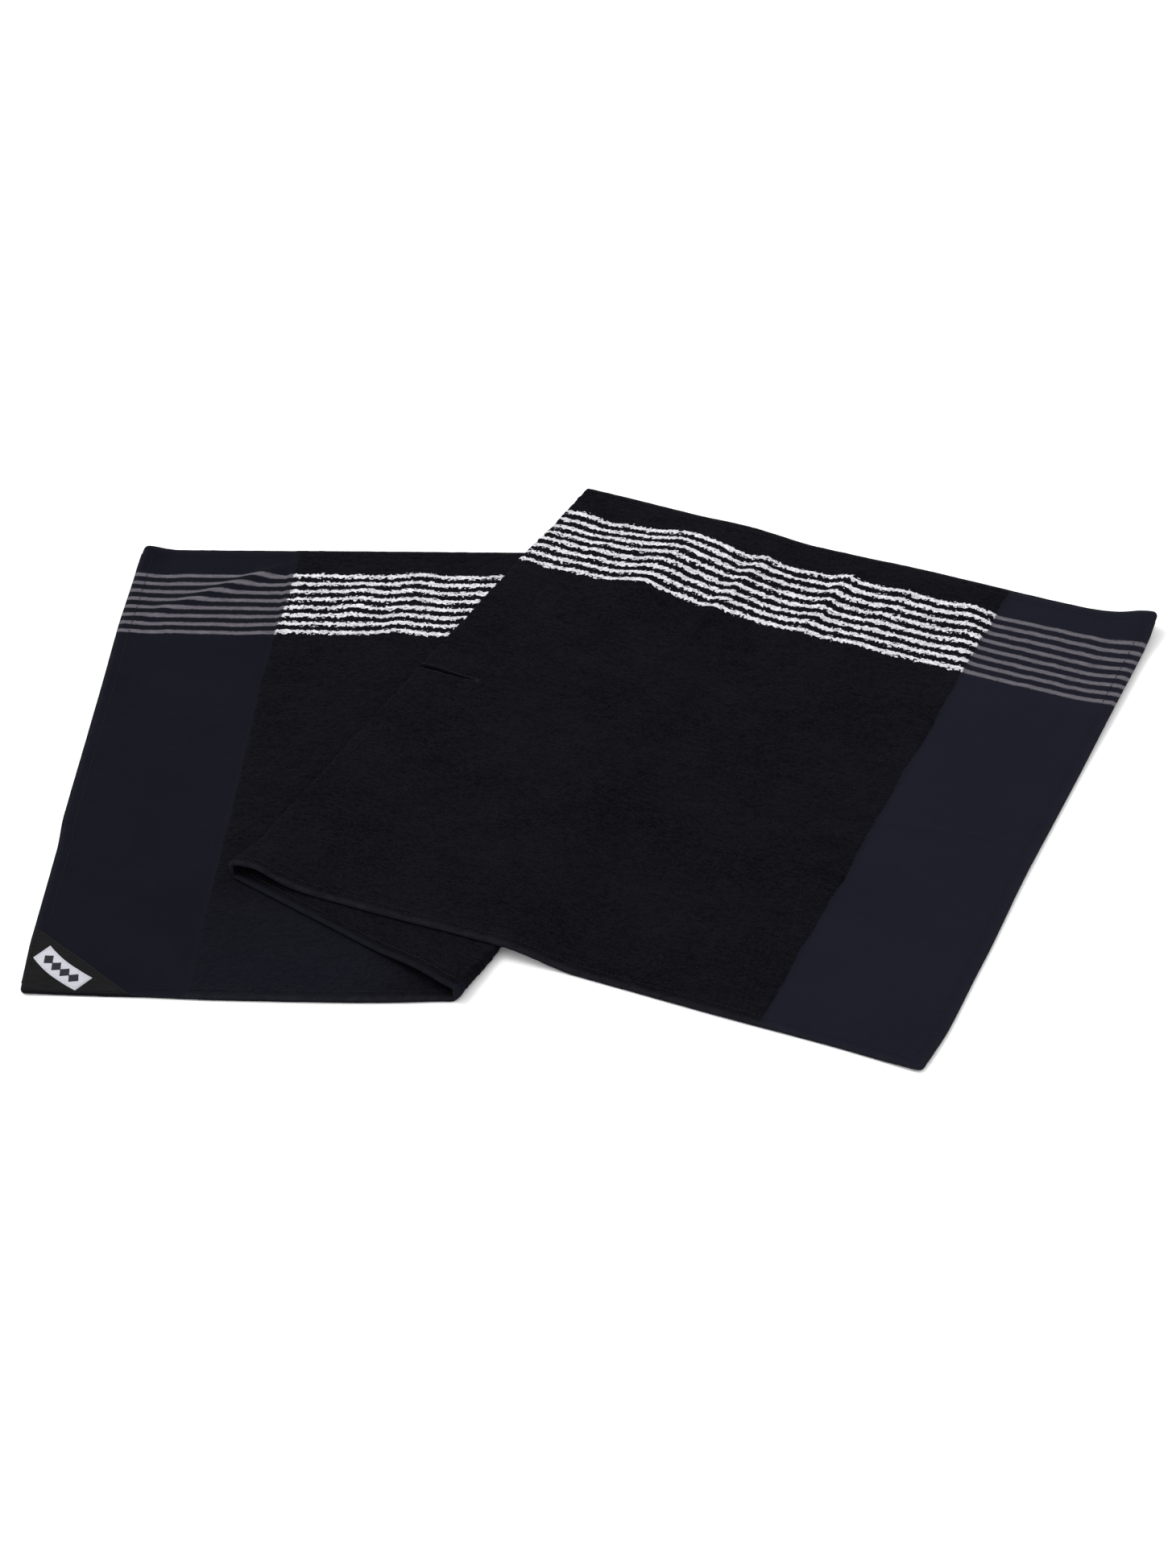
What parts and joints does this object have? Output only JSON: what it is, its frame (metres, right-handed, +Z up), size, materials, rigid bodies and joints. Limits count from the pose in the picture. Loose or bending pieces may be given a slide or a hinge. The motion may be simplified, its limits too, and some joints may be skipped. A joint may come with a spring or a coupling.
{
  "type": "golf towel",
  "caption": "Long golf towel folded in a flat Z, with lengthwise stripes, flat-woven ends, a slit at the fold and a triangular corner patch; its folds open out.",
  "frame": {"origin": "on the table, under the middle of the folded towel's bounding box", "axes": "+X along the bottom layer's long edges, from the patched end towards the right fold; +Z up, out of the table"},
  "size_m": [0.8206, 0.6378, 0.0116],
  "materials": {
    "terry": "dense looped terry, matt, near-black navy",
    "flat_weave": "flat woven, matt, near-black navy",
    "hem": "turned and sewn flat weave",
    "thread": "polyester thread, slight sheen",
    "slit_edging": "dense overcast thread",
    "webbing": "tight twill, slight sheen",
    "badge": "woven label, pale grey"
  },
  "bodies": {
    "bottom_layer": {"bottom_terry": "terry", "bottom_flat_weave": "flat_weave", "bottom_near_hem": "hem", "bottom_far_hem": "hem", "bottom_end_hem": "hem", "bottom_near_hem_stitching": "thread", "bottom_far_hem_stitching": "thread", "bottom_end_hem_stitching": "thread", "corner_patch": "webbing", "corner_patch_stitching": "thread", "corner_badge": "badge", "right_fold": "terry"},
    "middle_layer": {"middle_terry": "terry", "middle_near_hem": "hem", "middle_far_hem": "hem", "middle_near_hem_stitching": "thread", "middle_far_hem_stitching": "thread", "middle_slit_edging": "slit_edging", "left_fold_near": "terry", "left_fold_far": "terry"},
    "top_layer": {"top_terry": "terry", "top_flat_weave": "flat_weave", "top_near_hem": "hem", "top_far_hem": "hem", "top_end_hem": "hem", "top_near_hem_stitching": "thread", "top_far_hem_stitching": "thread", "top_end_hem_stitching": "thread", "top_slit_edging": "slit_edging"}
  },
  "joints": [
    {"name": "right_fold_hinge", "type": "hinge", "parent": "bottom_layer", "child": "middle_layer", "pos_m": [-0.00227, -0.01265, 0.0079], "axis": [0.2762, 0.9611, 0], "range_deg": [0, 180], "deforming": ["right_fold"]},
    {"name": "left_fold_hinge", "type": "hinge", "parent": "middle_layer", "child": "top_layer", "pos_m": [-0.16285, 0.08797, 0.0079], "axis": [-0.4296, -0.903, 0], "range_deg": [0, 180], "deforming": ["left_fold_near", "left_fold_far"]}
  ],
  "couplings": [
    {"joint": "left_fold_hinge", "follows": "right_fold_hinge", "ratio": 1}
  ]
}
